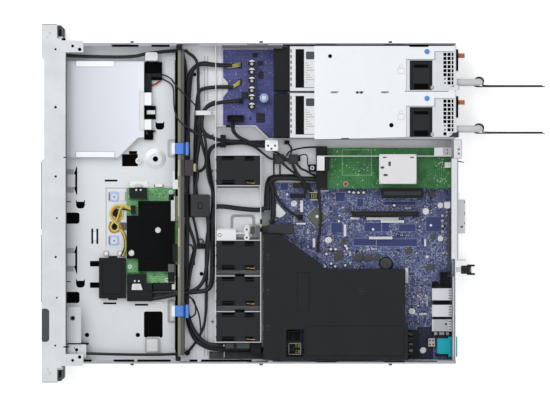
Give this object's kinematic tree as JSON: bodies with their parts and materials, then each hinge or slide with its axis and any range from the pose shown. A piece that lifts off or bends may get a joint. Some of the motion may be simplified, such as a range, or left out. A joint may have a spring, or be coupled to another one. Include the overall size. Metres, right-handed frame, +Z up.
{
  "type": "rack server",
  "caption": "Low rack-mount server with its top cover off: front ears and bays, fan wall, power supplies, boards under an air shroud and rear ports.",
  "frame": {"origin": "under the case at mid width, in the plane of the ears' backs", "axes": "+Z up, front faces -Y, +X to the right seen from the front"},
  "size_m": [0.4826, 0.6798, 0.0438],
  "materials": {
    "pan_steel": "galvanised sheet",
    "bay_steel": "bright galvanised sheet",
    "cover_steel": "bright sheet",
    "strip_paint": "satin light grey",
    "ear_plastic": "satin light grey",
    "latch_plastic": "moulded",
    "button_plastic": "satin",
    "tag_plastic": "moulded",
    "tray_plastic": "moulded",
    "drive_steel": "pressed sheet",
    "green_board": "solder mask",
    "card_board": "solder mask",
    "olive_board": "bare laminate edge",
    "blue_board": "solder mask",
    "navy_board": "solder mask",
    "black_plastic": "moulded",
    "rotor_plastic": "moulded",
    "black_anodised": "black anodised",
    "bare_aluminium": "extruded",
    "processor_lid": "nickel plated",
    "port_shell": "plated shell",
    "switch_plastic": "moulded",
    "psu_steel": "bright sheet",
    "blue_touch": "moulded",
    "orange_touch": "moulded",
    "handle_plastic": "moulded",
    "strap_fabric": "woven hook and loop",
    "cable_jacket": "satin jacket",
    "screw_steel": "plated"
  },
  "bodies": {
    "server": {"chassis_pan": "pan_steel", "drive_bay_floor": "bay_steel", "front_frame": "strip_paint", "left_ear": "ear_plastic", "right_ear": "ear_plastic", "rear_panel": "bay_steel", "optical_bracket": "bay_steel", "optical_drive": "drive_steel", "controller_carrier": "bay_steel", "controller_board": "green_board", "controller_heat_plate": "black_anodised", "controller_battery": "black_plastic", "controller_plugs": "black_plastic", "drive_backplane": "olive_board", "drive_sockets": "black_plastic", "fan_cage": "bay_steel", "fan_frames": "black_plastic", "power_board": "blue_board", "power_capacitors": "bare_aluminium", "power_sockets": "black_plastic", "psu_bay_cover": "cover_steel", "system_board": "navy_board", "board_sockets": "black_plastic", "processor": "processor_lid", "heat_sink": "bare_aluminium", "memory_modules": "card_board", "expansion_card": "card_board", "expansion_bracket": "cover_steel", "rear_ports": "port_shell", "intrusion_switch": "switch_plastic", "cable_harness": "cable_jacket", "screws": "screw_steel"},
    "left_latch": {"left_latch": "latch_plastic"},
    "right_latch": {"right_latch": "latch_plastic"},
    "power_button": {"power_button": "button_plastic"},
    "info_tag": {"info_tag": "tag_plastic"},
    "disc_tray": {"disc_tray": "tray_plastic"},
    "drive_blank_left": {"drive_blank_left": "tray_plastic"},
    "drive_blank_right": {"drive_blank_right": "tray_plastic"},
    "left_release_tab": {"left_release_tab": "blue_touch"},
    "right_release_tab": {"right_release_tab": "blue_touch"},
    "fan_rotor_1": {"fan_rotor_1": "rotor_plastic"},
    "fan_rotor_2": {"fan_rotor_2": "rotor_plastic"},
    "fan_rotor_3": {"fan_rotor_3": "rotor_plastic"},
    "fan_rotor_4": {"fan_rotor_4": "rotor_plastic"},
    "release_plunger": {"release_plunger": "blue_touch"},
    "air_shroud": {"air_shroud": "black_plastic"},
    "psu_rotor_1": {"psu_rotor_1": "rotor_plastic"},
    "psu_latch_1": {"psu_latch_1": "orange_touch"},
    "psu_rotor_2": {"psu_rotor_2": "rotor_plastic"},
    "psu_latch_2": {"psu_latch_2": "orange_touch"},
    "rear_latch": {"rear_latch": "latch_plastic"},
    "power_supply_1": {"psu_case_1": "psu_steel", "psu_fan_1": "black_plastic", "psu_handle_1": "handle_plastic", "psu_strap_1": "strap_fabric"},
    "power_supply_2": {"psu_case_2": "psu_steel", "psu_fan_2": "black_plastic", "psu_handle_2": "handle_plastic", "psu_strap_2": "strap_fabric"}
  },
  "joints": [
    {"name": "left_latch_swing", "type": "hinge", "parent": "server", "child": "left_latch", "pos_m": [-0.2215, 0.00465, 0.0214], "axis": [0, 0, -1], "range_deg": [0, 30], "stiffness_Nm_per_rad": 0.05},
    {"name": "right_latch_swing", "type": "hinge", "parent": "server", "child": "right_latch", "pos_m": [0.2215, 0.00465, 0.0214], "axis": [0, 0, 1], "range_deg": [0, 30], "stiffness_Nm_per_rad": 0.05},
    {"name": "power_button_press", "type": "slide", "parent": "server", "child": "power_button", "axis": [0, 1, 0], "range_m": [0, 0.0015], "stiffness_N_per_m": 800},
    {"name": "info_tag_slide", "type": "slide", "parent": "server", "child": "info_tag", "axis": [0, -1, 0], "range_m": [0, 0.04]},
    {"name": "disc_tray_slide", "type": "slide", "parent": "server", "child": "disc_tray", "axis": [0, -1, 0], "range_m": [0, 0.1]},
    {"name": "left_blank_slide", "type": "slide", "parent": "server", "child": "drive_blank_left", "axis": [0, -1, 0], "range_m": [0, 0.03]},
    {"name": "right_blank_slide", "type": "slide", "parent": "server", "child": "drive_blank_right", "axis": [0, -1, 0], "range_m": [0, 0.03]},
    {"name": "left_tab_lift", "type": "hinge", "parent": "server", "child": "left_release_tab", "pos_m": [-0.07375, 0.1563, 0.0384], "axis": [1, 0, 0], "range_deg": [0, 25], "stiffness_Nm_per_rad": 0.03},
    {"name": "right_tab_lift", "type": "hinge", "parent": "server", "child": "right_release_tab", "pos_m": [0.14525, 0.1563, 0.0384], "axis": [1, 0, 0], "range_deg": [0, 25], "stiffness_Nm_per_rad": 0.03},
    {"name": "fan_spin_1", "type": "hinge", "parent": "server", "child": "fan_rotor_1", "pos_m": [-0.0442, 0.2438, 0.0213], "axis": [0, 1, 0], "continuous": true},
    {"name": "fan_spin_2", "type": "hinge", "parent": "server", "child": "fan_rotor_2", "pos_m": [0.0705, 0.2438, 0.0213], "axis": [0, 1, 0], "continuous": true},
    {"name": "fan_spin_3", "type": "hinge", "parent": "server", "child": "fan_rotor_3", "pos_m": [0.1185, 0.2438, 0.0213], "axis": [0, 1, 0], "continuous": true},
    {"name": "fan_spin_4", "type": "hinge", "parent": "server", "child": "fan_rotor_4", "pos_m": [0.1665, 0.2438, 0.0213], "axis": [0, 1, 0], "continuous": true},
    {"name": "plunger_pull", "type": "slide", "parent": "server", "child": "release_plunger", "axis": [0, 0, 1], "range_m": [0, 0.006], "stiffness_N_per_m": 400},
    {"name": "shroud_lift", "type": "slide", "parent": "server", "child": "air_shroud", "axis": [0, 0, 1], "range_m": [0, 0.06]},
    {"name": "power_supply_slide_1", "type": "slide", "parent": "server", "child": "power_supply_1", "axis": [0, 1, 0], "range_m": [0, 0.23]},
    {"name": "supply_fan_spin_1", "type": "hinge", "parent": "power_supply_1", "child": "psu_rotor_1", "pos_m": [-0.1723, 0.49, 0.02175], "axis": [0, 1, 0], "continuous": true},
    {"name": "supply_latch_press_1", "type": "slide", "parent": "power_supply_1", "child": "psu_latch_1", "axis": [1, 0, 0], "range_m": [0, 0.003], "stiffness_N_per_m": 600},
    {"name": "power_supply_slide_2", "type": "slide", "parent": "server", "child": "power_supply_2", "axis": [0, 1, 0], "range_m": [0, 0.23]},
    {"name": "supply_fan_spin_2", "type": "hinge", "parent": "power_supply_2", "child": "psu_rotor_2", "pos_m": [-0.1093, 0.49, 0.02175], "axis": [0, 1, 0], "continuous": true},
    {"name": "supply_latch_press_2", "type": "slide", "parent": "power_supply_2", "child": "psu_latch_2", "axis": [1, 0, 0], "range_m": [0, 0.003], "stiffness_N_per_m": 600},
    {"name": "rear_latch_swing", "type": "hinge", "parent": "server", "child": "rear_latch", "pos_m": [0.09, 0.5413, 0.022], "axis": [0, 0, -1], "range_deg": [0, 60]}
  ]
}
